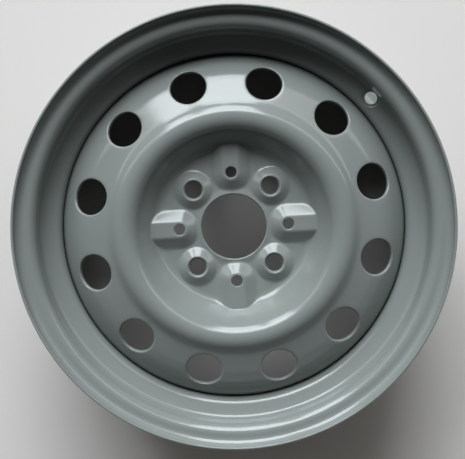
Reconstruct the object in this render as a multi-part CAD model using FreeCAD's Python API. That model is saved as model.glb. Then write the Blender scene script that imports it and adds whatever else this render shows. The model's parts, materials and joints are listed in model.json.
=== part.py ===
import FreeCAD
import Part

import os
from math import cos, radians, sin, tan

from FreeCAD import Vector

# A pressed-steel car wheel, 5.5 inches wide on a 14 inch bead seat. All sizes are millimetres and degrees.
# The origin is the centre of the hub face, +Z points outboard and the wheel lies on its inboard flange.

# Rim: the line that the tyre touches, with the sheet on the axle's side of it
bead_seat_radius = 177.4
rim_width = 139.7
wheel_offset = 35.0
rim_gauge = 2.4
flange_height = 17.3
flange_bend = 9.5
lip_reach = 12.0
heel_bend = 6.5
bead_seat_width = 17.5
bead_seat_taper = 5.0
toe_bend = 8.0
hump_height = 1.0
hump_ramp = 16.0
hump_bend = 7.5
well_depth = 19.3
well_width = 42.0
well_wall_angle = 70.0
well_wall_bend = 6.3
ledge_drop = 0.8
ledge_wall_angle = 45.0
ledge_wall_bend = 9.0
ledge_bend = 12.0

# Valve hole in the outboard wall of the well, in a coined flat
valve_hole_radius = 5.65
valve_hole_drop = 10.1
valve_hole_angle = 40.0
valve_flat_margin = 2.0
valve_flat_depth = 0.5
valve_flat_edge = 1.0

# Disc: hub face with a plunged bore, bowl, crown and the slopes outside it, along the front of the sheet
disc_gauge = 4.0
bore_radius = 29.3
bore_lip_rise = 1.6
bore_lip_width = 6.0
bowl_foot_bend = 10.0
bowl_wall_angle = 56.0
crown_circle = 98.4
crown_height = 34.4
crown_bend = 14.5
crown_fall_angle = 43.0
crown_foot_circle = 111.3
crown_foot_bend = 16.0
vent_band_angle = 20.0
shoulder_inset = 16.0
shoulder_bend = 45.0
shoulder_angle = 50.0
skirt_bend = 22.0
skirt_length = 24.0

# Vent holes, punched square to their band
vent_count = 12
vent_radius = 16.0
vent_inset = 24.7
vent_first_angle = 15.0

# Bolt seats: raised cones round the bolt holes, hollow behind
bolt_count = 4
bolt_circle = 98.0
bolt_hole_radius = 7.5
bolt_first_angle = 45.0
boss_rise = 5.2
boss_hollow = 3.5
boss_flank = 42.0
boss_crest = 1.2
boss_crest_bend = 1.0
seat_mouth_radius = 8.8
seat_half_angle = 30.0

# Guide ridges: pressed flats that run from the guide-pin holes out into the bowl's wall
guide_hole_radius = 4.9
guide_first_angle = 0.0
ridge_rise = 7.0
ridge_half_width = 7.0
ridge_flank = 40.0
ridge_bend = 5.0

# Blend round the foot of the bosses and ridges, where the sheet was drawn over the press tool
foot_blend = 3.0

# Fillet welds between the skirt's end and the well
weld_count = 8
weld_arc = 28.0
weld_leg = 3.4
weld_bulge = 0.4

# Places that several pieces share
outboard_face = rim_width / 2 - wheel_offset
inboard_face = -rim_width / 2 - wheel_offset
flange_radius = bead_seat_radius + flange_height
toe_radius = bead_seat_radius - bead_seat_width * tan(radians(bead_seat_taper))
well_radius = bead_seat_radius - well_depth
skirt_radius = well_radius - rim_gauge
shoulder_circle = skirt_radius - shoulder_inset
vent_circle = skirt_radius - vent_inset
hub_front = disc_gauge
mid_sheet = disc_gauge / 2
touching = 0.001
bend_room = 0.98

CENTRE = Vector(0, 0, 0)
AXLE = Vector(0, 0, 1)


def at(radius, height):
    """A point of the half section."""
    return Vector(radius, 0, height)


def heading(angle):
    """The direction in the half section that climbs at an angle while it leaves the axle."""
    return at(cos(radians(angle)), sin(radians(angle)))


def meet(start, direction, other_start, other_direction):
    """The point where two lines of the half section cross."""
    gap = other_start - start
    cross = direction.x * other_direction.z - direction.z * other_direction.x
    return start + direction * ((gap.x * other_direction.z - gap.z * other_direction.x) / cross)


def beside(line, distance):
    """A line of (corner, bend radius) pairs, drawn again at a distance to the left of itself."""
    corners = [corner for corner, bend in line]
    runs = [(after - before).normalize() for before, after in zip(corners, corners[1:])]
    sides = [at(-run.z, run.x) for run in runs]
    moved = [(corners[0] + sides[0] * distance, line[0][1])]
    for index in range(1, len(runs)):
        shift = (sides[index - 1] + sides[index]) * (distance / (1 + sides[index - 1].dot(sides[index])))
        turns_left = runs[index].dot(sides[index - 1]) > 0
        bend = max(0.0, line[index][1] + (-distance if turns_left else distance))
        moved.append((corners[index] + shift, bend))
    moved.append((corners[-1] + sides[-1] * distance, line[-1][1]))
    return moved


def fitted(line):
    """A line whose bends are no larger than the straight runs between them leave room for."""
    reach = [0.0]
    for (before, _), (corner, bend), (after, _) in zip(line, line[1:], line[2:]):
        reach.append(bend * tan((corner - before).getAngle(after - corner) / 2))
    reach.append(0.0)
    share = [1.0]
    for index in range(1, len(line)):
        run = (line[index][0] - line[index - 1][0]).Length
        share.append(min(1.0, bend_room * run / max(reach[index - 1] + reach[index], touching)))
    share.append(1.0)
    return [(corner, bend * min(share[index], share[index + 1])) for index, (corner, bend) in enumerate(line)]


def section(line):
    """The face inside a closed line, with each corner rounded by its bend radius."""
    arcs = []
    for index, (corner, bend) in enumerate(line):
        back = (line[index - 1][0] - corner).normalize()
        onward = (line[(index + 1) % len(line)][0] - corner).normalize()
        half = back.getAngle(onward) / 2
        middle = corner + (back + onward).normalize() * (bend / sin(half) - bend)
        arcs.append((corner + back * (bend / tan(half)), middle, corner + onward * (bend / tan(half))))
    edges = []
    for index, (start, middle, end) in enumerate(arcs):
        edges.append(Part.makeLine(arcs[index - 1][2], start))
        if line[index][1] > 0:
            edges.append(Part.Arc(start, middle, end).toShape())
    return Part.Face(Part.Wire(edges))


def sheet(line, gauge):
    """The section of a bent sheet that lies to the right of a line."""
    front = fitted(line)
    return section(front + beside(front, -gauge)[::-1])


def turned(face, angle=360):
    """A face of the half section swept round the axle."""
    return face.revolve(CENTRE, AXLE, angle)


def spread(shape, count, first_angle):
    """Copies of a shape, turned evenly round the axle."""
    copies = [shape.copy() for index in range(count)]
    for index, copy in enumerate(copies):
        copy.rotate(CENTRE, AXLE, first_angle + index * 360 / count)
    return copies


def bead(flange_face, inward, fall_angle):
    """The rim's line from the lip of one flange to the corner that its hump is rounded from."""
    side_sum = (heading(hump_ramp).x + heading(fall_angle).x) / (1 + heading(hump_ramp + fall_angle).x)
    hump_rise = hump_height + hump_bend * (side_sum - 1)
    hump_place = bead_seat_width + hump_rise / tan(radians(hump_ramp))
    return [
        (at(flange_radius, flange_face - inward * lip_reach), 0),
        (at(flange_radius, flange_face), flange_bend),
        (at(bead_seat_radius, flange_face), heel_bend),
        (at(toe_radius, flange_face + inward * bead_seat_width), toe_bend),
        (at(toe_radius + hump_rise, flange_face + inward * hump_place), hump_bend),
    ]


def well(outboard_hump, inboard_hump):
    """The rim's line between its two humps: steep wall, well, sloping wall and ledge."""
    ledge_radius = toe_radius - ledge_drop
    outer_edge = outboard_hump.z - (outboard_hump.x - well_radius) / tan(radians(well_wall_angle))
    inner_edge = outer_edge - well_width
    ledge_start = inner_edge - (ledge_radius - well_radius) / tan(radians(ledge_wall_angle))
    ledge_end = inboard_hump.z + (inboard_hump.x - ledge_radius) / tan(radians(hump_ramp))
    return [
        (at(well_radius, outer_edge), well_wall_bend),
        (at(well_radius, inner_edge), ledge_wall_bend),
        (at(ledge_radius, ledge_start), ledge_bend),
        (at(ledge_radius, ledge_end), ledge_bend),
    ]


def make_rim():
    """The rolled hoop, with the valve hole square to the wall of its well."""
    outboard = bead(outboard_face, -1, well_wall_angle)
    inboard = bead(inboard_face, 1, hump_ramp)
    hump = outboard[-1][0]
    hoop = turned(sheet(outboard + well(hump, inboard[-1][0]) + inboard[::-1], rim_gauge))

    up_wall = heading(90 - well_wall_angle)
    square = at(-up_wall.z, up_wall.x)
    flat_line = hump + square * (rim_gauge - valve_flat_depth)
    seat = meet(flat_line, up_wall, at(hump.x - valve_hole_drop, 0), AXLE)
    flat_radius = valve_hole_radius + valve_flat_margin
    flat = Part.makeCylinder(flat_radius + valve_flat_edge, rim_gauge, seat - square * rim_gauge, square)
    recess = Part.makeCylinder(flat_radius, flat_radius, seat, square)
    hole = Part.makeCylinder(valve_hole_radius, 4 * rim_gauge, seat - square * 2 * rim_gauge, square)
    for shape in (flat, recess, hole):
        shape.rotate(CENTRE, AXLE, valve_hole_angle)
    return hoop.fuse(flat).cut([recess, hole]).removeSplitter()


def disc_line():
    """The front of the disc's sheet, from the bore to the end of the skirt."""
    crown_centre = at(crown_circle, crown_height - crown_bend)
    wall_top = crown_centre + heading(bowl_wall_angle + 90) * crown_bend
    fall_top = crown_centre + heading(90 - crown_fall_angle) * crown_bend
    bore_edge = at(bore_radius, hub_front)
    bowl_foot = meet(bore_edge, heading(0), wall_top, heading(bowl_wall_angle))
    crown = meet(wall_top, heading(bowl_wall_angle), fall_top, heading(-crown_fall_angle))
    crown_foot = meet(fall_top, heading(-crown_fall_angle), at(crown_foot_circle, 0), AXLE)
    shoulder = meet(crown_foot, heading(-vent_band_angle), at(shoulder_circle, 0), AXLE)
    skirt = meet(shoulder, heading(-shoulder_angle), at(skirt_radius, 0), AXLE)
    return [
        (bore_edge, 0),
        (bowl_foot, bowl_foot_bend),
        (crown, crown_bend),
        (crown_foot, crown_foot_bend),
        (shoulder, shoulder_bend),
        (skirt, skirt_bend),
        (skirt - AXLE * skirt_length, 0),
    ]


def make_bore_lip():
    """The low cone that the plunged bore raises round itself, with the bore still closed."""
    height = hub_front + bore_lip_rise - mid_sheet
    foot_radius = bore_radius + height * bore_lip_width / bore_lip_rise
    return Part.makeCone(foot_radius, bore_radius, height, at(0, mid_sheet), AXLE)


def make_boss():
    """One bolt seat on the X axis: the raised cone, and what is cut from it behind and through it."""
    top = hub_front + boss_rise
    crest_radius = seat_mouth_radius + boss_crest
    flank_run = 1 / tan(radians(boss_flank))
    seat_floor = top - (seat_mouth_radius - bolt_hole_radius) / tan(radians(seat_half_angle))
    cone = turned(section([
        (at(0, mid_sheet), 0),
        (at(crest_radius + (top - mid_sheet) * flank_run, mid_sheet), 0),
        (at(crest_radius, top), boss_crest_bend),
        (at(seat_mouth_radius, top), boss_crest_bend),
        (at(bolt_hole_radius, seat_floor), 0),
        (at(0, seat_floor), 0),
    ]))
    flank_gauge = disc_gauge / sin(radians(boss_flank))
    mouth = crest_radius + top * flank_run - flank_gauge
    hollow = Part.makeCone(mouth, mouth - boss_hollow * flank_run, boss_hollow)
    hole = Part.makeCylinder(bolt_hole_radius, top)
    for shape in (cone, hollow, hole):
        shape.translate(Vector(bolt_circle / 2, 0, 0))
    return cone, hollow.fuse(hole)


def pressed_ridge(flank_line):
    """A ridge on the X axis, outwards from a round end at the bolt circle, from the line of its flank."""
    middle = flank_line[-1][0]
    foot = flank_line[0][0]
    mirrored = [(at(-corner.x, corner.z), bend) for corner, bend in flank_line[-2::-1]]
    run = section(flank_line[:-1] + mirrored).extrude(Vector(0, -crown_circle + bolt_circle / 2, 0))
    end = turned(section(flank_line + [(at(middle.x, foot.z), 0)]), 180)
    ridge = run.fuse(end)
    ridge.rotate(CENTRE, AXLE, 90)
    ridge.translate(Vector(bolt_circle / 2, 0, 0))
    return ridge


def make_guide(bowl_foot):
    """One guide ridge on the X axis: the ridge up to the middle of the bowl's wall, and its cuts."""
    top = hub_front + ridge_rise
    flank_run = 1 / tan(radians(ridge_flank))
    crest = [(at(ridge_half_width, top), ridge_bend), (at(0, top), 0)]
    front_line = [(at(ridge_half_width + (top - mid_sheet) * flank_run, mid_sheet), 0)] + crest
    rear_line = beside([(at(ridge_half_width + top * flank_run, 0), 0)] + crest, disc_gauge)

    wall_run = 1 / tan(radians(bowl_wall_angle))
    wall_middle = bowl_foot.x + mid_sheet / sin(radians(bowl_wall_angle))
    low_radius = wall_middle + (mid_sheet - hub_front) * wall_run
    high_radius = wall_middle + (top - hub_front) * wall_run
    bowl = Part.makeCone(low_radius, high_radius, top - mid_sheet, at(0, mid_sheet), AXLE)
    hole = Part.makeCylinder(guide_hole_radius, top + mid_sheet, at(bolt_circle / 2, 0), AXLE)
    return pressed_ridge(front_line).common(bowl), pressed_ridge(rear_line).fuse(hole)


def make_vent(disc_section):
    """One vent punch on the X axis, square to the vent band."""
    probe = Part.makeLine(at(vent_circle, inboard_face), at(vent_circle, 2 * crown_height))
    front = at(vent_circle, disc_section.common(probe).BoundBox.ZMax)
    square = heading(90 - vent_band_angle)
    return Part.makeCylinder(vent_radius, 2 * vent_radius, front - square * vent_radius, square)


def foot_edges(pressing, blank, raised):
    """The edges of a pressing along which its raised shapes rise from the front of the blank."""
    skins = [blank.Shells[0], Part.makeCompound([shape.Shells[0] for shape in raised])]
    edges = []
    for edge in pressing.Edges:
        middle = Part.Vertex(edge.valueAt(sum(edge.ParameterRange) / 2))
        on_both = all(skin.distToShape(middle)[0] < touching for skin in skins)
        if on_both and middle.Z > hub_front - touching:
            edges.append(edge)
    return edges


def make_disc():
    """The pressed disc: the turned sheet, with its bosses and ridges raised and its holes punched."""
    line = disc_line()
    disc_section = sheet(line, disc_gauge)
    boss, boss_cut = make_boss()
    guide, guide_cut = make_guide(line[1][0])
    raised = spread(boss, bolt_count, bolt_first_angle) + spread(guide, bolt_count, guide_first_angle)
    cuts = spread(boss_cut, bolt_count, bolt_first_angle) + spread(guide_cut, bolt_count, guide_first_angle)
    cuts += spread(make_vent(disc_section), vent_count, vent_first_angle)
    cuts.append(Part.makeCylinder(bore_radius, 2 * crown_height, at(0, -crown_height), AXLE))
    blank = turned(disc_section)
    pressing = blank.fuse(raised).removeSplitter()
    pressing = pressing.makeFillet(foot_blend, foot_edges(pressing, blank, raised))
    return pressing.fuse(make_bore_lip()).cut(cuts).removeSplitter()


def make_welds():
    """The fillet welds, each an arc in the corner between the skirt's end and the well."""
    corner = disc_line()[-1][0]
    on_skirt = corner + at(-weld_leg, 0)
    on_well = corner + at(0, -weld_leg)
    outward = at(-1, -1).normalize()
    face = (on_skirt + on_well) * 0.5 + outward * weld_bulge
    outline = [Part.makeLine(on_well, corner), Part.makeLine(corner, on_skirt)]
    outline.append(Part.Arc(on_skirt, face, on_well).toShape())
    weld = turned(Part.Face(Part.Wire(outline)), weld_arc)
    return Part.makeCompound(spread(weld, weld_count, 0))


os.makedirs("parts", exist_ok=True)
nodes = {"rim": make_rim(), "wheel_disc": make_disc(), "weld_beads": make_welds()}
for name, shape in nodes.items():
    shape.exportStep(os.path.join("parts", name + ".step"))
    print(name, len(shape.Solids), "solids", round(shape.Volume / 1000, 1), "cm3", shape.isValid())
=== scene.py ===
import json
import math

import bpy
import numpy as np
from mathutils import Matrix, Vector

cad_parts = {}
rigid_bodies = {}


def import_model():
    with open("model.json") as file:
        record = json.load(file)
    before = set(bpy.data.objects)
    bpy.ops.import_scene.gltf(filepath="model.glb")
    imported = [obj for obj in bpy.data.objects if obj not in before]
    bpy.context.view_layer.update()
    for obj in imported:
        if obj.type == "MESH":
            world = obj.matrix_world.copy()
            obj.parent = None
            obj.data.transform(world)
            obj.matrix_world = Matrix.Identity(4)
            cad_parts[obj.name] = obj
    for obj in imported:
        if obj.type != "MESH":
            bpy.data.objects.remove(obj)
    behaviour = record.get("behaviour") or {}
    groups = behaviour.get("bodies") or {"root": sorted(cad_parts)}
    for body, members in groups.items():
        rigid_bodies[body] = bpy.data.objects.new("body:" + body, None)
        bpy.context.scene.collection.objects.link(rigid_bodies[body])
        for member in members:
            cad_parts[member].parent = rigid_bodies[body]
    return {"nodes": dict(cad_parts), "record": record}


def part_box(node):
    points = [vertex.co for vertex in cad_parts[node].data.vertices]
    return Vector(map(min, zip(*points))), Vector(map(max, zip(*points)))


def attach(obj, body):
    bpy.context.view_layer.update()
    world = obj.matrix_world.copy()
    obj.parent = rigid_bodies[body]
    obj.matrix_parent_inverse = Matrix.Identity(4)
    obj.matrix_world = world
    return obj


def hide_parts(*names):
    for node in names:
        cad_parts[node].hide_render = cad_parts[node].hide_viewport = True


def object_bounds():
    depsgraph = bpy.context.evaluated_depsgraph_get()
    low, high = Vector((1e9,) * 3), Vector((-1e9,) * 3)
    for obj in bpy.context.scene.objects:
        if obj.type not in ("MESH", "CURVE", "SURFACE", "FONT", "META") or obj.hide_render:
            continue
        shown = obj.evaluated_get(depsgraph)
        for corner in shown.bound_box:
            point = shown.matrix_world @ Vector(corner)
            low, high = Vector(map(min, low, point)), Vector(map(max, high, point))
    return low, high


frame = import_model()
cadLow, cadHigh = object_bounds()
print("frame loaded:", sorted(frame["nodes"]))

# Meshes are worked out in millimetres and made in metres
metresPerMm = 0.001
seamWeld = 2e-6  # seams closer than this many metres are welded
edgeCells = 4  # steps round a soft edge's quarter turn
mounts = {mount["name"]: mount for mount in frame["record"]["mounts"]}
rimLow, rimHigh = [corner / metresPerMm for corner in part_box("rim")]
discLow, discHigh = [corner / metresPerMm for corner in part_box("wheel_disc")]
skirtRadius = discHigh.x
boreRadius = mounts["centre_bore"]["dims"]["r_mm"]
boltRadius = mounts["bolt_holes"]["dims"]["pcd_mm"] / 2
boltHoleRadius = mounts["bolt_holes"]["dims"]["hole_r_mm"]
guideHoleRadius = mounts["guide_pin_holes"]["dims"]["hole_r_mm"]
valveHoleRadius = mounts["valve_hole"]["dims"]["r_mm"]
valveCentre = Vector(mounts["valve_hole"]["pos_m"]) / metresPerMm


# Lines of the half section, as corners of (radius, height, bend)

def heading(angle):
    return np.array([math.cos(math.radians(angle)), math.sin(math.radians(angle))])


def crossing(start, angle, otherStart, otherAngle):
    ways = np.array([heading(angle), -heading(otherAngle)]).T
    along = np.linalg.solve(ways, np.subtract(otherStart, start))[0]
    return np.array(start) + heading(angle) * along


def unit(way):
    return way / np.linalg.norm(way)


def bentLine(corners, arcStep, runStep):
    # points along a line whose bends are arcs, the normals on its right, and the length up to each point
    spots = [np.array(corner[:2], float) for corner in corners]
    runs = [unit(after - before) for before, after in zip(spots, spots[1:])]
    points, normals, lengths = [spots[0]], [np.array([runs[0][1], -runs[0][0]])], [0.0]
    for index, run in enumerate(runs):
        right = np.array([run[1], -run[0]])
        end, turn = spots[index + 1], 0.0
        if index + 1 < len(runs):
            after = runs[index + 1]
            bend = corners[index + 1][2]
            turn = math.atan2(run[0] * after[1] - run[1] * after[0], run @ after)
            end = end - run * bend * math.tan(abs(turn) / 2)
        length = np.linalg.norm(end - points[-1])
        start, begun = points[-1], lengths[-1]
        for share in np.linspace(0, 1, max(1, math.ceil(length / runStep)) + 1)[1:]:
            points.append(start + (end - start) * share)
            normals.append(right)
            lengths.append(begun + length * share)
        if turn:
            swing = math.copysign(bend, turn)
            begun = lengths[-1]
            for share in np.linspace(0, 1, max(2, math.ceil(abs(turn) / arcStep)) + 1)[1:]:
                cosine, sine = math.cos(turn * share), math.sin(turn * share)
                side = np.array([right[0] * cosine - right[1] * sine, right[0] * sine + right[1] * cosine])
                points.append(end + (side - right) * swing)
                normals.append(side)
                lengths.append(begun + bend * abs(turn) * share)
    return np.array(points), np.array(normals), np.array(lengths)


def softMax(one, other, blend):
    return np.maximum(one, other) + np.maximum(blend - np.abs(one - other), 0) ** 2 / (4 * blend)


def softMin(one, other, blend):
    return -softMax(-one, -other, blend)


def smoothStep(value):
    value = np.clip(value, 0, 1)
    return value * value * (3 - 2 * value)


def quarterTurn(count):
    return np.radians(np.linspace(0, 90, count + 1))


# Mesh making

def patch(rows, closed=False, flip=False):
    rows = np.asarray(rows, float)
    count, width = rows.shape[:2]
    across = np.arange(width if closed else width - 1)
    down = np.arange(count - 1)[:, None] * width
    after = (across + 1) % width
    quads = np.stack([down + across, down + after, down + width + after, down + width + across], -1)
    quads = quads.reshape(-1, 4)
    return rows.reshape(-1, 3), quads[:, ::-1] if flip else quads


def meshObject(name, patches):
    starts = np.cumsum([0] + [len(spots) for spots, faces in patches])
    points = np.concatenate([spots for spots, faces in patches]) * metresPerMm
    quads = np.concatenate([faces + start for (spots, faces), start in zip(patches, starts)])
    mesh = bpy.data.meshes.new(name)
    mesh.from_pydata(points.tolist(), [], quads.tolist())
    mesh.update()
    piece = bpy.data.objects.new(name, mesh)
    bpy.context.scene.collection.objects.link(piece)
    return piece


class Tree:
    # a Geometry Nodes tree with named inputs

    def __init__(self, name, sockets):
        self.group = bpy.data.node_groups.new(name, "GeometryNodeTree")
        self.group.interface.new_socket("Geometry", in_out="OUTPUT", socket_type="NodeSocketGeometry")
        self.ids = {}
        for label, kind in sockets.items():
            socket = self.group.interface.new_socket(label, in_out="INPUT", socket_type="NodeSocket" + kind)
            self.ids[label] = socket.identifier
        self.given = self.group.nodes.new("NodeGroupInput").outputs

    def node(self, kind, inputs, **settings):
        made = self.group.nodes.new(kind)
        for key, value in settings.items():
            setattr(made, key, value)
        for key, value in inputs.items():
            if isinstance(value, bpy.types.NodeSocket):
                self.group.links.new(value, made.inputs[key])
            else:
                made.inputs[key].default_value = value
        return made.outputs

    def maths(self, operation, first, second, third=0.0):
        return self.node("ShaderNodeMath", {0: first, 1: second, 2: third}, operation=operation)[0]

    def part(self, label):
        return self.node("GeometryNodeObjectInfo", {"Object": self.given[label]})["Geometry"]

    def finish(self, geometry):
        # Realize Instances, then the seams are welded, and Set Material comes last
        real = self.node("GeometryNodeRealizeInstances", {"Geometry": geometry})[0]
        welded = self.node(
            "GeometryNodeMergeByDistance", {"Geometry": real, "Distance": self.given["Weld"]})[0]
        smooth = self.node("GeometryNodeSetShadeSmooth", {"Geometry": welded})[0]
        painted = self.node(
            "GeometryNodeSetMaterial", {"Geometry": smooth, "Material": self.given["Finish"]})[0]
        self.node("NodeGroupOutput", {0: painted})

    def grow(self, name, values):
        # runs the tree and keeps what it gives as a plain mesh
        piece = bpy.data.objects.new(name, bpy.data.meshes.new(name))
        bpy.context.scene.collection.objects.link(piece)
        modifier = piece.modifiers.new(name, "NODES")
        modifier.node_group = self.group
        for label, value in values.items():
            modifier[self.ids[label]] = value
        evaluated = piece.evaluated_get(bpy.context.evaluated_depsgraph_get())
        mesh = bpy.data.meshes.new_from_object(evaluated)
        piece.modifiers.clear()
        piece.data = mesh
        return piece


def settle(piece, node, slotName, *parts):
    for part in parts:
        bpy.data.objects.remove(part)
    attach(piece, "root")
    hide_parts(node)
    print(piece.name, "made:", len(piece.data.polygons), "faces")


# Grey enamel

enamel = {
    "colour": (0.214, 0.238, 0.224, 1),
    "deepColour": (0.199, 0.222, 0.209, 1),
    "roughness": 0.16,
    "ior": 1.5,
    "mottleScale": 26.0,
    "mottleDetail": 4,
    "peelScale": 420.0,
    "peelDetail": 1,
    "peelDepth": 0.00002,
}


def makeEnamel():
    material = bpy.data.materials.new("grey_enamel")
    material.use_nodes = True
    nodes, links = material.node_tree.nodes, material.node_tree.links
    shader = nodes["Principled BSDF"]
    place = nodes.new("ShaderNodeTexCoord")
    mottle = nodes.new("ShaderNodeTexNoise")
    mottle.inputs["Scale"].default_value = enamel["mottleScale"]
    mottle.inputs["Detail"].default_value = enamel["mottleDetail"]
    links.new(place.outputs["Object"], mottle.inputs["Vector"])
    tones = nodes.new("ShaderNodeMix")
    tones.data_type = "RGBA"
    # sockets 6 and 7 are the two colours, and output 2 is their mixture
    tones.inputs[6].default_value = enamel["deepColour"]
    tones.inputs[7].default_value = enamel["colour"]
    links.new(mottle.outputs["Fac"], tones.inputs["Factor"])
    links.new(tones.outputs[2], shader.inputs["Base Color"])
    peel = nodes.new("ShaderNodeTexNoise")
    peel.inputs["Scale"].default_value = enamel["peelScale"]
    peel.inputs["Detail"].default_value = enamel["peelDetail"]
    links.new(place.outputs["Object"], peel.inputs["Vector"])
    bump = nodes.new("ShaderNodeBump")
    bump.inputs["Strength"].default_value = 1
    bump.inputs["Distance"].default_value = enamel["peelDepth"]
    links.new(peel.outputs["Fac"], bump.inputs["Height"])
    links.new(bump.outputs["Normal"], shader.inputs["Normal"])
    shader.inputs["Roughness"].default_value = enamel["roughness"]
    shader.inputs["IOR"].default_value = enamel["ior"]
    return material


greyEnamel = makeEnamel()
print("enamel mixed")


# Rim: one rolled section, turned round the axle

rimSizes = {
    "gauge": 2.4,
    "flangeHeight": 17.3,
    "flangeBend": 9.5,
    "lipReach": 12.0,
    "lipEdge": 1.0,
    "heelBend": 6.5,
    "seatWidth": 17.5,
    "seatTaper": 5.0,
    "toeBend": 8.0,
    "humpHeight": 1.0,
    "humpRamp": 16.0,
    "humpBend": 7.5,
    "wellWidth": 42.0,
    "wallAngle": 70.0,
    "wallBend": 6.3,
    "ledgeDrop": 0.8,
    "ledgeWallAngle": 45.0,
    "ledgeWallBend": 9.0,
    "ledgeBend": 12.0,
    "turns": 216,
    "arcStep": math.radians(7),
    "runStep": 2.5,
}
valveSizes = {
    "flatMargin": 2.0,
    "flatEdge": 1.0,
    "holeEdge": 0.5,
    "flatShares": [0, 0.25, 0.5, 0.75, 1],
    "halfTurns": 3,
    "turnSlack": 0.25,
    "halfReach": 12.5,
    "allCorners": 0.9,  # a face goes when the mean over its corners is above this
    "fineArcs": 8,
    "fineRuns": 4,
    "rings": 6,
}


def beadCorners(face, inward, fallAngle):
    # from a flange's lip to the corner that the hump is rounded from
    s = rimSizes
    flangeRadius = rimHigh.x
    seatRadius = flangeRadius - s["flangeHeight"]
    toeRadius = seatRadius - s["seatWidth"] * math.tan(math.radians(s["seatTaper"]))
    sides = heading(s["humpRamp"])[0] + heading(fallAngle)[0]
    sides = sides / (1 + heading(s["humpRamp"] + fallAngle)[0])
    rise = s["humpHeight"] + s["humpBend"] * (sides - 1)
    reach = s["seatWidth"] + rise / math.tan(math.radians(s["humpRamp"]))
    return [
        (flangeRadius, face - inward * (s["lipReach"] - s["lipEdge"]), 0),
        (flangeRadius, face, s["flangeBend"]),
        (seatRadius, face, s["heelBend"]),
        (toeRadius, face + inward * s["seatWidth"], s["toeBend"]),
        (toeRadius + rise, face + inward * reach, s["humpBend"]),
    ]


def rimCorners():
    s = rimSizes
    outboard = beadCorners(rimHigh.z - s["lipReach"], -1, s["wallAngle"])
    inboard = beadCorners(rimLow.z + s["lipReach"], 1, s["humpRamp"])
    wellRadius = skirtRadius + s["gauge"]
    ledgeRadius = inboard[3][0] - s["ledgeDrop"]
    outerEdge = outboard[4][1] - (outboard[4][0] - wellRadius) / math.tan(math.radians(s["wallAngle"]))
    innerEdge = outerEdge - s["wellWidth"]
    ledgeStart = innerEdge - (ledgeRadius - wellRadius) / math.tan(math.radians(s["ledgeWallAngle"]))
    ledgeEnd = inboard[4][1] + (inboard[4][0] - ledgeRadius) / math.tan(math.radians(s["humpRamp"]))
    well = [
        (wellRadius, outerEdge, s["wallBend"]),
        (wellRadius, innerEdge, s["ledgeWallBend"]),
        (ledgeRadius, ledgeStart, s["ledgeBend"]),
        (ledgeRadius, ledgeEnd, s["ledgeBend"]),
    ]
    return outboard + well + inboard[::-1]


def roundedEnd(front, onward, behind, gauge, edge):
    # the rounded end of a sheet, between the ends of its two skins
    near = [
        front + behind * edge * (1 - math.cos(a)) + onward * edge * math.sin(a)
        for a in quarterTurn(edgeCells)[1:]]
    far = [spot + behind * (gauge - 2 * (spot - front) @ behind) for spot in near]
    return near + far[::-1]


def turnedRow(radius, height, angle):
    return np.stack([radius * np.cos(angle), radius * np.sin(angle), height + 0 * angle], -1)


def gridBorder(across, along):
    # the border of a grid, as a loop
    bottom = [(a, along[0]) for a in across[:-1]]
    right = [(across[-1], b) for b in along[:-1]]
    top = [(a, along[-1]) for a in across[:0:-1]]
    left = [(across[0], b) for b in along[:0:-1]]
    return np.array(bottom + right + top + left)


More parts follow.
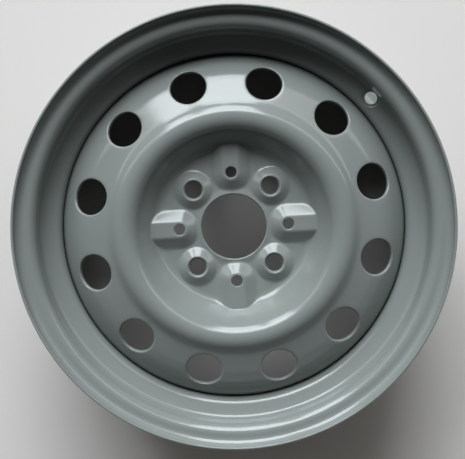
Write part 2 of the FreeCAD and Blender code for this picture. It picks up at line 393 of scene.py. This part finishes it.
def makeRim():
    s, v = rimSizes, valveSizes
    tyreSkin, inward, lengths = bentLine(rimCorners(), s["arcStep"], s["runStep"])
    axleSkin = tyreSkin + inward * s["gauge"]
    up = np.array([0.0, 1.0])
    outboardLip = roundedEnd(tyreSkin[0], up, inward[0], s["gauge"], s["lipEdge"])
    inboardLip = roundedEnd(tyreSkin[-1], -up, inward[-1], s["gauge"], s["lipEdge"])
    loop = np.array([*tyreSkin[::-1], *outboardLip, *axleSkin, *inboardLip[::-1]])

    # the wall round the valve hole is left out of the turned section and filled with rings from the hole
    step = 2 * math.pi / s["turns"]
    middleAngle = math.atan2(valveCentre.y, valveCentre.x)
    middleTurn = round(middleAngle / step)
    holeCircle = math.hypot(valveCentre.x, valveCentre.y)
    wallWay = math.radians(90 - s["wallAngle"])
    downWall = -np.array([math.cos(wallWay), math.sin(wallWay)])
    square = np.array([-math.sin(wallWay), math.cos(wallWay)])
    denseSkin, denseIn, denseLength = bentLine(
        rimCorners(), s["arcStep"] / v["fineArcs"], s["runStep"] / v["fineRuns"])
    holePlace = np.array([holeCircle, valveCentre.z])
    middleSkin = denseSkin + denseIn * s["gauge"] / 2
    nearest = np.argmin(np.linalg.norm(middleSkin - holePlace, axis=1))
    holeLength = denseLength[nearest] + (holePlace - middleSkin[nearest]) @ downWall
    rows = [k for k in range(len(lengths)) if abs(lengths[k] - holeLength) < v["halfReach"]]
    turns = np.arange(middleTurn - v["halfTurns"], middleTurn + v["halfTurns"] + 1)
    border = gridBorder((turns * step - middleAngle) * holeCircle, lengths[rows] - holeLength)
    way = np.arctan2(border[:, 1], border[:, 0])
    roundHole = np.stack([np.cos(way), np.sin(way)], -1)

    def skinPoint(spots, depth):
        skin = denseSkin + denseIn * depth
        radius, height = [np.interp(holeLength + spots[:, 1], denseLength, skin[:, k]) for k in (0, 1)]
        return turnedRow(radius, height, middleAngle + spots[:, 0] / holeCircle)

    def flatPoint(spots, height):
        flat = holePlace + spots[:, 1:] * downWall + square * height
        aside = np.stack([flat[:, 0], spots[:, 0], flat[:, 1]], -1)
        cosine, sine = math.cos(middleAngle), math.sin(middleAngle)
        return aside @ np.array([[cosine, sine, 0], [-sine, cosine, 0], [0, 0, 1]])

    def skinRings(depth, height, flatRadius, count):
        radii = [valveHoleRadius + v["holeEdge"], (valveHoleRadius + v["holeEdge"] + flatRadius) / 2]
        radii += [flatRadius + v["flatEdge"] * share for share in v["flatShares"]]
        spots = [roundHole * radius for radius in radii]
        spots += [spots[-1] + (border - spots[-1]) * share for share in np.linspace(0, 1, count + 1)[1:]]
        rings = []
        for ring in spots:
            weight = smoothStep((np.linalg.norm(ring, axis=1) - flatRadius) / v["flatEdge"])[:, None]
            rings.append(skinPoint(ring, depth) * weight + flatPoint(ring, height) * (1 - weight))
        return rings

    flatRadius = valveHoleRadius + v["flatMargin"]
    half = s["gauge"] / 2
    front = skinRings(s["gauge"], half, flatRadius, v["rings"])
    back = skinRings(0, -half, flatRadius + v["flatEdge"], v["rings"])
    wall = []
    for side in (-1, 1):
        arc = quarterTurn(edgeCells)[1:] if side < 0 else quarterTurn(edgeCells)[:0:-1]
        for a in arc:
            radius = valveHoleRadius + v["holeEdge"] * (1 - math.sin(a))
            wall.append(flatPoint(roundHole * radius, side * (half - v["holeEdge"] * (1 - math.cos(a)))))
    window = meshObject("valveWindow", [patch(back[::-1] + wall + front, closed=True, flip=True)])

    section = bpy.data.meshes.new("rimSection")
    section.from_pydata([(r * metresPerMm, 0, z * metresPerMm) for r, z in loop], [], [])
    inWindow = np.zeros(len(loop), np.float32)
    inWindow[[len(tyreSkin) - 1 - k for k in rows]] = 1
    inWindow[[len(tyreSkin) + len(outboardLip) + k for k in rows]] = 1
    section.attributes.new("window", "FLOAT", "POINT").data.foreach_set("value", inWindow)
    sectionPart = bpy.data.objects.new("rimSection", section)
    bpy.context.scene.collection.objects.link(sectionPart)

    tree = Tree("rolledRim", {
        "Section": "Object", "Valve Window": "Object", "Turns": "Int", "Valve Turn": "Int",
        "Half Window": "Float", "Weld": "Float", "Finish": "Material"})
    profile = tree.part("Section")
    count = tree.node("GeometryNodeAttributeDomainSize", {"Geometry": profile})["Point Count"]
    rowsEach = tree.maths("ADD", count, 1)
    index = tree.node("GeometryNodeInputIndex", {})[0]
    turn = tree.maths("FLOOR", tree.maths("DIVIDE", index, rowsEach), 0)
    row = tree.maths("MODULO", tree.maths("MODULO", index, rowsEach), count)
    position = tree.node("GeometryNodeInputPosition", {})[0]
    onSection = tree.node(
        "GeometryNodeSampleIndex", {"Geometry": profile, "Value": position, "Index": row},
        data_type="FLOAT_VECTOR")[0]
    flag = tree.node("GeometryNodeInputNamedAttribute", {"Name": "window"}, data_type="FLOAT")[0]
    inRows = tree.node(
        "GeometryNodeSampleIndex", {"Geometry": profile, "Value": flag, "Index": row}, data_type="FLOAT")[0]
    angle = tree.maths("DIVIDE", tree.maths("MULTIPLY", turn, 2 * math.pi), tree.given["Turns"])
    turned = tree.node(
        "ShaderNodeVectorRotate", {"Vector": onSection, "Angle": angle}, rotation_type="Z_AXIS")[0]
    across = tree.maths("ADD", tree.given["Turns"], 1)
    sheet = tree.node("GeometryNodeMeshGrid", {"Vertices X": across, "Vertices Y": rowsEach})["Mesh"]
    hoop = tree.node("GeometryNodeSetPosition", {"Geometry": sheet, "Position": turned})[0]
    inTurns = tree.maths("COMPARE", turn, tree.given["Valve Turn"], tree.given["Half Window"])
    inside = tree.node(
        "GeometryNodeFieldOnDomain", {0: tree.maths("MULTIPLY", inRows, inTurns)},
        domain="POINT", data_type="FLOAT")[0]
    inside = tree.maths("GREATER_THAN", inside, v["allCorners"])
    opened = tree.node(
        "GeometryNodeDeleteGeometry", {"Geometry": hoop, "Selection": inside}, domain="FACE")[0]
    joined = tree.group.nodes.new("GeometryNodeJoinGeometry")
    tree.group.links.new(opened, joined.inputs[0])
    tree.group.links.new(tree.part("Valve Window"), joined.inputs[0])
    tree.finish(joined.outputs[0])
    rim = tree.grow("rolled_rim", {
        "Section": sectionPart, "Valve Window": window, "Turns": s["turns"], "Valve Turn": int(middleTurn),
        "Half Window": v["halfTurns"] + v["turnSlack"], "Weld": seamWeld, "Finish": greyEnamel})
    settle(rim, "rim", "grey_enamel", sectionPart, window)


makeRim()


# Disc: three kinds of sector, repeated round the axle

discSizes = {
    "gauge": 4.0,
    "boreLipRise": 1.6,
    "boreLipWidth": 6.0,
    "boreLipBlend": 0.25,
    "boreEdge": 1.0,
    "boreBackCells": 3,
    "bowlFootBend": 10.0,
    "bowlWallAngle": 56.0,
    "crownCircle": 98.4,
    "crownBend": 14.5,
    "crownFallAngle": 43.0,
    "crownFootCircle": 111.3,
    "crownFootBend": 16.0,
    "bandAngle": 20.0,
    "shoulderInset": 16.0,
    "shoulderBend": 45.0,
    "shoulderAngle": 50.0,
    "skirtBend": 22.0,
    "skirtEdge": 0.8,
    "hubSpread": 18.7,
    "vaneCircle": 105.0,
    "rimCircle": 148.0,
    "cells": 36,
    "sideCells": 20,
    "frontFill": 5,
    "backFill": 3,
    "wallStep": 1.3,
    "wallBackStep": 2.2,
    "fineArc": math.radians(1),
    "fineRun": 0.5,
    "skirtArc": math.radians(6),
    "skirtRun": 4.0,
}
# front flanks of seats and ridges are gentler than the solids', and their hollows behind are the solids'
seatSizes = {
    "height": 9.2,
    "mouthRadius": 8.8,
    "mouthBend": 1.0,
    "crestRadius": 10.0,
    "crestBlend": 0.3,
    "flankAngle": 34.0,
    "seatHalfAngle": 30.0,
    "footBlend": 0.6,
    "hollowHeight": 3.5,
    "hollowRadius": 14.24,
    "hollowFlank": 42.0,
    "hollowBlend": 0.4,
    "hollowFoot": 0.5,
    "backEdge": 0.3,
    "throatBend": 0.4,
    "mouthLand": 0.8,
    "arcStep": math.radians(13),
    "runStep": 1.3,
    "frontRings": [9.8, 10.0, 10.2, 10.5, 11.0, 11.6, 12.4, 13.4, 14.4, 15.4, 16.4, 17.6],
    "backRings": [9.5, 11.2, 11.9, 13.2, 14.3, 15.0, 17.0],
    "count": 4,
    "first": 45.0,
}
ridgeSizes = {
    "height": 11.0,
    "halfWidth": 7.0,
    "bendBlend": 1.0,
    "flankAngle": 33.0,
    "footBlend": 0.55,
    "holeEdge": 0.8,
    "backHeight": 7.0,
    "backHalfWidth": 5.54,
    "backFlank": 40.0,
    "backBlend": 0.6,
    "backEdge": 0.4,
    "frontRings": [6.3, 6.9, 7.5, 8.1, 8.8, 9.6, 10.5, 11.4, 12.3, 13.1, 13.9, 14.8, 16.2, 17.8],
    "backRings": [5.6, 6.0, 7.5, 9.5, 11.2, 12.2, 14.5, 17.0],
    "flatReach": 4.5,
    "flankReach": 15.0,
    "flankDensity": 2.0,
    "fanDensity": 0.7,
    "fadeStart": 84.0,
    "fadeEnd": 97.0,
    "count": 4,
    "first": 0.0,
}
ventSizes = {
    "radius": 16.0,
    "inset": 24.7,
    "frontEdge": 1.6,
    "backEdge": 0.5,
    "edgeCells": 5,
    "rings": 9,
    "backRings": 6,
    "skinPasses": 12,
    "count": 12,
    "first": 15.0,
}
hubSectors = seatSizes["count"] + ridgeSizes["count"]
hubHalf = math.pi / hubSectors  # half the angle of a sector of the hub face


def discCorners():
    s = discSizes
    crownCentre = np.array([s["crownCircle"], discHigh.z - s["crownBend"]])
    wallTop = crownCentre + heading(s["bowlWallAngle"] + 90) * s["crownBend"]
    fallTop = crownCentre + heading(90 - s["crownFallAngle"]) * s["crownBend"]
    boreEdge = (boreRadius, s["gauge"])
    bowlFoot = crossing(boreEdge, 0, wallTop, s["bowlWallAngle"])
    crown = crossing(wallTop, s["bowlWallAngle"], fallTop, -s["crownFallAngle"])
    crownFoot = crossing(fallTop, -s["crownFallAngle"], (s["crownFootCircle"], 0), 90)
    shoulder = crossing(crownFoot, -s["bandAngle"], (skirtRadius - s["shoulderInset"], 0), 90)
    skirt = crossing(shoulder, -s["shoulderAngle"], (skirtRadius, 0), 90)
    return [
        (*boreEdge, 0),
        (*bowlFoot, s["bowlFootBend"]),
        (*crown, s["crownBend"]),
        (*crownFoot, s["crownFootBend"]),
        (*shoulder, s["shoulderBend"]),
        (*skirt, s["skirtBend"]),
        (skirtRadius, discLow.z + s["skirtEdge"], 0),
    ]


discFront, discBehind = bentLine(discCorners(), discSizes["fineArc"], discSizes["fineRun"])[:2]
discBack = discFront + discBehind * discSizes["gauge"]


def frontHeight(radius):
    s = discSizes
    base = np.interp(radius, discFront[:, 0], discFront[:, 1])
    fall = s["boreLipRise"] / s["boreLipWidth"]
    lip = s["gauge"] + s["boreLipRise"] - (radius - boreRadius) * fall
    lipped = softMax(base, lip, s["boreLipBlend"])
    return np.where(radius < boreRadius + 2 * s["boreLipWidth"], lipped, base)


def backHeight(radius):
    return np.interp(radius, discBack[:, 0], discBack[:, 1])


def slope(angle):
    return math.tan(math.radians(angle))


def seatFront(x, y):
    s = seatSizes
    away = np.hypot(x - boltRadius, y)
    flank = s["height"] - (away - s["crestRadius"]) * slope(s["flankAngle"])
    boss = softMin(s["height"], flank, s["crestBlend"])
    return softMax(frontHeight(np.hypot(x, y)), boss, s["footBlend"])


def seatBack(x, y):
    s = seatSizes
    away = np.hypot(x - boltRadius, y)
    flank = (s["hollowRadius"] - away) * slope(s["hollowFlank"])
    hollow = softMin(s["hollowHeight"], flank, s["hollowBlend"])
    return softMax(backHeight(np.hypot(x, y)), hollow, s["hollowFoot"])


def ridgeFrom(x, y):
    # how far a spot is from the middle of the ridge, which ends round the guide hole
    return np.where(x > boltRadius, np.abs(y), np.hypot(x - boltRadius, y))


def ridgeFront(x, y):
    s = ridgeSizes
    flank = s["height"] + (s["halfWidth"] - ridgeFrom(x, y)) * slope(s["flankAngle"])
    ridge = softMin(s["height"], flank, s["bendBlend"])
    return softMax(frontHeight(np.hypot(x, y)), ridge, s["footBlend"])


def ridgeBack(x, y):
    s = ridgeSizes
    flank = s["backHeight"] + (s["backHalfWidth"] - ridgeFrom(x, y)) * slope(s["backFlank"])
    ridge = softMin(s["backHeight"], flank, s["backBlend"])
    return softMax(backHeight(np.hypot(x, y)), ridge, s["backBlend"])


def lifted(plan, height):
    return np.concatenate([plan, height(plan[..., 0], plan[..., 1])[..., None]], -1)


def polar(radius, angle):
    return np.stack([radius * np.cos(angle), radius * np.sin(angle)], -1)


def sectorBorder(innerRadius, outerRadius, half, outerAngles, innerAngles, sideCells):
    # the plan of a sector's border, anticlockwise round its hole
    along = np.linspace(innerRadius, outerRadius, sideCells + 1)
    return np.concatenate([
        polar(along[:-1], -half),
        polar(outerRadius, outerAngles[:-1]),
        polar(along[:0:-1], half),
        polar(innerRadius, innerAngles[:0:-1]),
    ])


def ringsBetween(inner, outer, count):
    return [inner + (outer - inner) * share for share in np.linspace(0, 1, count + 1)[1:]]


def alongSkin(skin, fromRadius, toRadius, step):
    # radii along a skin, evenly spaced on its curve
    inside = (skin[:, 0] > fromRadius) & (skin[:, 0] < toRadius)
    ends = [
        np.array([radius, np.interp(radius, skin[:, 0], skin[:, 1])]) for radius in (fromRadius, toRadius)]
    line = np.array([ends[0], *skin[inside], ends[1]])
    length = np.concatenate([[0], np.cumsum(np.linalg.norm(np.diff(line, axis=0), axis=1))])
    places = np.linspace(0, length[-1], math.ceil(length[-1] / step) + 1)
    return np.interp(places, length, line[:, 0])


def hubSector(name, front, back, holeRows, frontRings, backRings, outerAngles, anglesAt):
    # a sector of the hub face round one hole, with its share of the bore and of the bowl's wall
    s = discSizes
    inner, outer = boreRadius + s["boreEdge"], boltRadius + s["hubSpread"]
    even = np.linspace(-hubHalf, hubHalf, s["cells"] + 1)
    border = sectorBorder(inner, outer, hubHalf, outerAngles, even, s["sideCells"])
    way = np.arctan2(border[:, 1], border[:, 0] - boltRadius)
    hole = np.array([boltRadius, 0])

    def circle(radius):
        return hole + polar(radius, way)

    frontPlan = [circle(radius) for radius in frontRings]
    frontPlan += ringsBetween(frontPlan[-1], border, s["frontFill"])
    backPlan = [circle(radius) for radius in backRings]
    backPlan += ringsBetween(backPlan[-1], border, s["backFill"])
    rows = [lifted(plan, back) for plan in backPlan[::-1]]
    rows += [
        np.concatenate([circle(radius), np.full((len(way), 1), height)], 1) for radius, height in holeRows]
    rows += [lifted(plan, front) for plan in frontPlan]
    patches = [patch(rows, closed=True, flip=True)]

    wallFront = alongSkin(discFront, outer, s["vaneCircle"], s["wallStep"])
    wallBack = alongSkin(discBack, outer, s["vaneCircle"], s["wallBackStep"])
    for radii, height, flip in ((wallFront, front, True), (wallBack, back, False)):
        rows = [lifted(polar(radius, anglesAt(radius)), height) for radius in radii]
        patches.append(patch(rows, flip=flip))

    top = float(front(inner, 0.0))
    edge = s["boreEdge"]
    bore = [(inner, top)]
    bore += [(inner - edge * math.sin(a), top - edge * (1 - math.cos(a))) for a in quarterTurn(edgeCells)[1:]]
    bore += [(boreRadius, top / 2)]
    lower = edge / 2
    bore += [
        (inner - lower - lower * math.sin(a), lower * (1 - math.cos(a)))
        for a in quarterTurn(s["boreBackCells"])[::-1]]
    bore += [(inner, 0)]
    patches.append(patch([turnedRow(radius, height, even) for radius, height in bore]))
    return meshObject(name, patches)


def seatSector():
    s = seatSizes
    throat = s["height"] - (s["mouthRadius"] - boltHoleRadius) / slope(s["seatHalfAngle"])
    section = [
        (boltHoleRadius, s["hollowHeight"] + s["backEdge"], 0),
        (boltHoleRadius, throat, s["throatBend"]),
        (s["mouthRadius"], s["height"], s["mouthBend"]),
        (s["mouthRadius"] + s["mouthLand"], s["height"], 0),
    ]
    holeRows = bentLine(section, s["arcStep"], s["runStep"])[0]
    backRings = [boltHoleRadius + s["backEdge"]] + s["backRings"]
    even = np.linspace(-hubHalf, hubHalf, discSizes["cells"] + 1)
    return hubSector(
        "seatSector", seatFront, seatBack, holeRows, s["frontRings"], backRings, even, lambda radius: even)


def guideSector():
    # columns run straight along the ridge's flanks, then fan out evenly
    s = ridgeSizes
    outer = boltRadius + discSizes["hubSpread"]
    reach = outer * math.sin(hubHalf)
    flat, foot = s["flatReach"], s["flankReach"]
    counts = np.cumsum([0, flat, (foot - flat) * s["flankDensity"], (reach - foot) * s["fanDensity"]])
    share = np.linspace(0, 1, discSizes["cells"] // 2 + 1)
    aside = np.interp(share * counts[-1], counts, [0, flat, foot, reach])
    aside = np.concatenate([-aside[:0:-1], aside])
    even = np.linspace(-hubHalf, hubHalf, discSizes["cells"] + 1)
    start = np.arcsin(aside / outer)
    keep = 1 - smoothStep((np.abs(aside) - foot) / (reach - foot))

    def anglesAt(radius):
        straight = start + (np.arcsin(aside / radius) - start) * keep
        fade = smoothStep((radius - s["fadeStart"]) / (s["fadeEnd"] - s["fadeStart"]))
        return straight + (even - straight) * fade

    edge = s["holeEdge"]
    top = s["height"]
    holeRows = [
        (guideHoleRadius, s["backHeight"] + s["backEdge"]), (guideHoleRadius, (top + s["backHeight"]) / 2)]
    holeRows += [
        (guideHoleRadius + edge * (1 - math.sin(a)), top - edge * (1 - math.cos(a)))
        for a in quarterTurn(edgeCells)[:0:-1]]
    frontRings = [guideHoleRadius + edge] + s["frontRings"]
    backRings = [guideHoleRadius + s["backEdge"]] + s["backRings"]
    return hubSector("guideSector", ridgeFront, ridgeBack, holeRows, frontRings, backRings, start, anglesAt)


def ventSector():
    s, v = discSizes, ventSizes
    half = math.pi / v["count"]
    circle = skirtRadius - v["inset"]
    tilt = math.radians(s["bandAngle"])
    centre = np.array([circle, 0, float(frontHeight(np.array(circle)))])
    downhill = np.array([math.cos(tilt), 0, -math.sin(tilt)])
    square = np.array([math.sin(tilt), 0, math.cos(tilt)])
    even = np.linspace(-half, half, s["cells"] * hubSectors // v["count"] + 1)
    border = sectorBorder(s["vaneCircle"], s["rimCircle"], half, even, even, s["sideCells"])
    way = np.arctan2(border[:, 1], (border[:, 0] - circle) / math.cos(tilt))
    out = np.cos(way)[:, None] * downhill + np.sin(way)[:, None] * np.array([0, 1, 0])

    def onSkin(radius, height):
        # where the punch's cylinder meets a skin
        spots = centre + out * radius
        for attempt in range(v["skinPasses"]):
            short = height(np.hypot(spots[:, 0], spots[:, 1])) - spots[:, 2]
            spots = spots + square * (short * math.cos(tilt))[:, None]
        return spots

    def edgeRows(edge, height, side):
        return [
            onSkin(v["radius"] + edge * (1 - math.sin(a)), height) + square * side * edge * (1 - math.cos(a))
            for a in quarterTurn(v["edgeCells"])]

    def skinRows(start, height, count):
        plans = ringsBetween(start[:, :2], border, count)
        return [lifted(plan, lambda x, y: height(np.hypot(x, y))) for plan in plans]

    frontEdge = edgeRows(v["frontEdge"], frontHeight, -1)
    backEdge = edgeRows(v["backEdge"], backHeight, 1)
    rows = skinRows(backEdge[0], backHeight, v["backRings"])[::-1] + backEdge
    rows += frontEdge[::-1] + skinRows(frontEdge[0], frontHeight, v["rings"])
    patches = [patch(rows, closed=True, flip=True)]

    skin, behind = bentLine(discCorners(), s["skirtArc"], s["skirtRun"])[:2]
    front = skin[skin[:, 0] > s["rimCircle"]]
    back = skin + behind * s["gauge"]
    back = back[back[:, 0] > s["rimCircle"]]
    end = roundedEnd(skin[-1], np.array([0.0, -1.0]), behind[-1], s["gauge"], s["skirtEdge"])
    start = [(s["rimCircle"], float(frontHeight(np.array(s["rimCircle"]))))]
    finish = [(s["rimCircle"], float(backHeight(np.array(s["rimCircle"]))))]
    line = start + front.tolist() + [spot.tolist() for spot in end] + back[::-1].tolist() + finish
    patches.append(patch([turnedRow(radius, height, even) for radius, height in line], flip=True))
    return meshObject("ventSector", patches)


def roundAxle(tree, part, first, count):
    # instances of a part, evenly round the axle
    points = tree.node("GeometryNodePoints", {"Count": tree.given[count]})[0]
    index = tree.node("GeometryNodeInputIndex", {})[0]
    step = tree.maths("DIVIDE", 2 * math.pi, tree.given[count])
    angle = tree.maths("MULTIPLY_ADD", index, step, tree.given[first])
    euler = tree.node("ShaderNodeCombineXYZ", {"Z": angle})[0]
    turn = tree.node("FunctionNodeEulerToRotation", {"Euler": euler})[0]
    return tree.node("GeometryNodeInstanceOnPoints", {
        "Points": points, "Instance": tree.part(part), "Rotation": turn})[0]


def makeDisc():
    kinds = {
        "Seat": (seatSector(), seatSizes),
        "Guide": (guideSector(), ridgeSizes),
        "Vent": (ventSector(), ventSizes),
    }
    sockets = {"Weld": "Float", "Finish": "Material"}
    values = {"Weld": seamWeld, "Finish": greyEnamel}
    for kind, (sector, sizes) in kinds.items():
        sockets.update({kind + " Sector": "Object", kind + " First": "Float", kind + " Count": "Int"})
        values.update({
            kind + " Sector": sector,
            kind + " First": math.radians(sizes["first"]),
            kind + " Count": sizes["count"]})
    tree = Tree("pressedDisc", sockets)
    joined = tree.group.nodes.new("GeometryNodeJoinGeometry")
    for kind in kinds:
        sectors = roundAxle(tree, kind + " Sector", kind + " First", kind + " Count")
        tree.group.links.new(sectors, joined.inputs[0])
    tree.finish(joined.outputs[0])
    disc = tree.grow("pressed_disc", values)
    settle(disc, "wheel_disc", "grey_enamel", *[sector for sector, sizes in kinds.values()])


makeDisc()


# Welds between the disc's skirt and the rim's well

beadSizes = {
    "leg": 3.4,
    "bulge": 0.4,
    "arc": 28.0,
    "ripplePitch": 2.2,
    "rippleDepth": 0.28,
    "rippleCells": 5,
    "faceCells": 6,
    "endLength": 3.0,
    "endShare": 0.01,
    "count": 8,
    "first": 0.0,
}


def makeBeads():
    s = beadSizes
    arc = math.radians(s["arc"])
    length = arc * skirtRadius
    along = np.linspace(0, length, round(length / s["ripplePitch"]) * s["rippleCells"] + 1)
    phase = along / s["ripplePitch"] % 1
    ripple = 1 - s["rippleDepth"] / s["leg"] * (2 * phase - 1) ** 2
    fromEnd = np.clip(np.minimum(along, length - along) / s["endLength"], 0, 1)
    size = np.sqrt(np.clip(1 - (1 - fromEnd) ** 2, s["endShare"], 1)) * ripple
    turn = along / skirtRadius - arc / 2
    swell = np.linspace(0, 1, s["faceCells"] + 1)
    face = [(-s["leg"] * (1 - share), -s["leg"] * share) for share in swell]
    # a parabola that reaches the bulge in the middle of the face
    proud = s["bulge"] * 4 * swell * (1 - swell) / math.sqrt(2)
    face = [(across - lift, down - lift) for (across, down), lift in zip(face, proud)]
    section = face + [(0, 0)]
    rows = [
        turnedRow(skirtRadius + across * size, discLow.z + down * size, turn) for across, down in section]
    loops = np.array(rows).transpose(1, 0, 2)
    # each end closes on its middle
    ends = [
        np.repeat(loop.mean(axis=0, keepdims=True), len(loop), axis=0) for loop in (loops[0], loops[-1])]
    bead = meshObject("bead", [patch([ends[0], *loops, ends[1]], closed=True, flip=True)])
    tree = Tree("weldBeads", {
        "Bead": "Object", "First": "Float", "Count": "Int", "Weld": "Float", "Finish": "Material"})
    tree.finish(roundAxle(tree, "Bead", "First", "Count"))
    beads = tree.grow("weld_beads_rippled", {
        "Bead": bead, "First": math.radians(s["first"]), "Count": s["count"],
        "Weld": seamWeld, "Finish": greyEnamel})
    settle(beads, "weld_beads", "grey_enamel", bead)


makeBeads()


# Floor, light and camera

stageSizes = {
    "floorReach": 6.0,
    "floorColour": (0.66, 0.64, 0.61, 1),
    "floorRoughness": 0.6,
    "floorSpecular": 0.2,
    "fillColour": (1.0, 0.98, 0.95, 1),
    "fillStrength": 0.045,
    "backdropColour": (0.62, 0.61, 0.59, 1),
    "lampDistance": 9.0,
    "wheelTurn": 3.2,
    "cameraRise": 1.067,
    "cameraOffset": 0.047,
    "aimUp": -0.00095,
    "aimRight": -0.00127,
    "focalPixels": 1229.0,
    "imageWidth": 465,
}
# soft boxes, each by the bearings it spans in the picture, its rise above the floor, and its radiance
softBoxes = {
    "pane_left": {
        "bearing": (110.0, 126.0), "rise": (12.0, 55.0), "radiance": 9.6, "colour": (0.90, 0.94, 1.0)},
    "pane_right": {
        "bearing": (78.0, 107.0), "rise": (12.0, 55.0), "radiance": 9.6, "colour": (0.90, 0.94, 1.0)},
    "overhead": {
        "bearing": (20.0, 160.0), "rise": (36.0, 54.0), "radiance": 2.3, "colour": (1.0, 1.0, 0.98)},
}
imageTurn = -math.radians(stageSizes["wheelTurn"])
imageRight = Vector((math.cos(imageTurn), math.sin(imageTurn), 0))
imageUp = Vector((-math.sin(imageTurn), math.cos(imageTurn), 0))
towardsCamera = Vector((0, 0, 1))


def makeFloor():
    s = stageSizes
    material = bpy.data.materials.new("pale_floor")
    material.use_nodes = True
    shader = material.node_tree.nodes["Principled BSDF"]
    shader.inputs["Base Color"].default_value = s["floorColour"]
    shader.inputs["Roughness"].default_value = s["floorRoughness"]
    shader.inputs["Specular IOR Level"].default_value = s["floorSpecular"]
    reach, height = s["floorReach"], cadLow.z
    mesh = bpy.data.meshes.new("floor")
    corners = [
        (-reach, -reach, height), (reach, -reach, height), (reach, reach, height), (-reach, reach, height)]
    mesh.from_pydata(corners, [], [(0, 1, 2, 3)])
    mesh.materials.append(material)
    floor = bpy.data.objects.new("floor", mesh)
    bpy.context.scene.collection.objects.link(floor)


def makeLight():
    s = stageSizes
    world = bpy.data.worlds.new("studio")
    world.use_nodes = True
    nodes, links = world.node_tree.nodes, world.node_tree.links
    fill = nodes["Background"]
    fill.inputs["Color"].default_value = s["fillColour"]
    fill.inputs["Strength"].default_value = s["fillStrength"]
    backdrop = nodes.new("ShaderNodeBackground")  # what the camera sees past the floor
    backdrop.inputs["Color"].default_value = s["backdropColour"]
    path, mix = nodes.new("ShaderNodeLightPath"), nodes.new("ShaderNodeMixShader")
    links.new(path.outputs["Is Camera Ray"], mix.inputs["Fac"])
    links.new(fill.outputs["Background"], mix.inputs[1])
    links.new(backdrop.outputs["Background"], mix.inputs[2])
    links.new(mix.outputs["Shader"], nodes["World Output"].inputs["Surface"])
    bpy.context.scene.world = world
    for name, box in softBoxes.items():
        bearing, rise = math.radians(sum(box["bearing"]) / 2), math.radians(sum(box["rise"]) / 2)
        halfBearing, halfRise = [math.radians(box[key][1] - box[key][0]) / 2 for key in ("bearing", "rise")]
        level = imageRight * math.cos(bearing) + imageUp * math.sin(bearing)
        way = level * math.cos(rise) + towardsCamera * math.sin(rise)
        lamp = bpy.data.lights.new(name, "AREA")
        lamp.shape = "RECTANGLE"
        lamp.size = 2 * s["lampDistance"] * math.cos(rise) * math.tan(halfBearing)
        lamp.size_y = 2 * s["lampDistance"] * math.tan(halfRise)
        lamp.energy = box["radiance"] * math.pi * lamp.size * lamp.size_y
        lamp.color = box["colour"]
        soft = bpy.data.objects.new(name, lamp)
        soft.location = way * s["lampDistance"]
        soft.rotation_euler = (-way).to_track_quat("-Z", "Y").to_euler()
        bpy.context.scene.collection.objects.link(soft)


def makeCamera():
    s = stageSizes
    lens = bpy.data.cameras.new("camera")
    lens.lens = s["focalPixels"] / s["imageWidth"] * lens.sensor_width
    camera = bpy.data.objects.new("camera", lens)
    place = imageUp * s["cameraOffset"] + towardsCamera * (cadHigh.z + s["cameraRise"])
    aim = imageUp * s["aimUp"] + imageRight * s["aimRight"] + towardsCamera * cadHigh.z
    forward = (aim - place).normalized()
    right = forward.cross(imageUp).normalized()
    up = right.cross(forward)
    turn = Matrix((right, up, -forward)).transposed()
    camera.matrix_world = Matrix.Translation(place) @ turn.to_4x4()
    bpy.context.scene.collection.objects.link(camera)
    bpy.context.scene.camera = camera


makeFloor()
makeLight()
makeCamera()
bpy.context.scene.view_settings.view_transform = "Standard"
print("stage set")
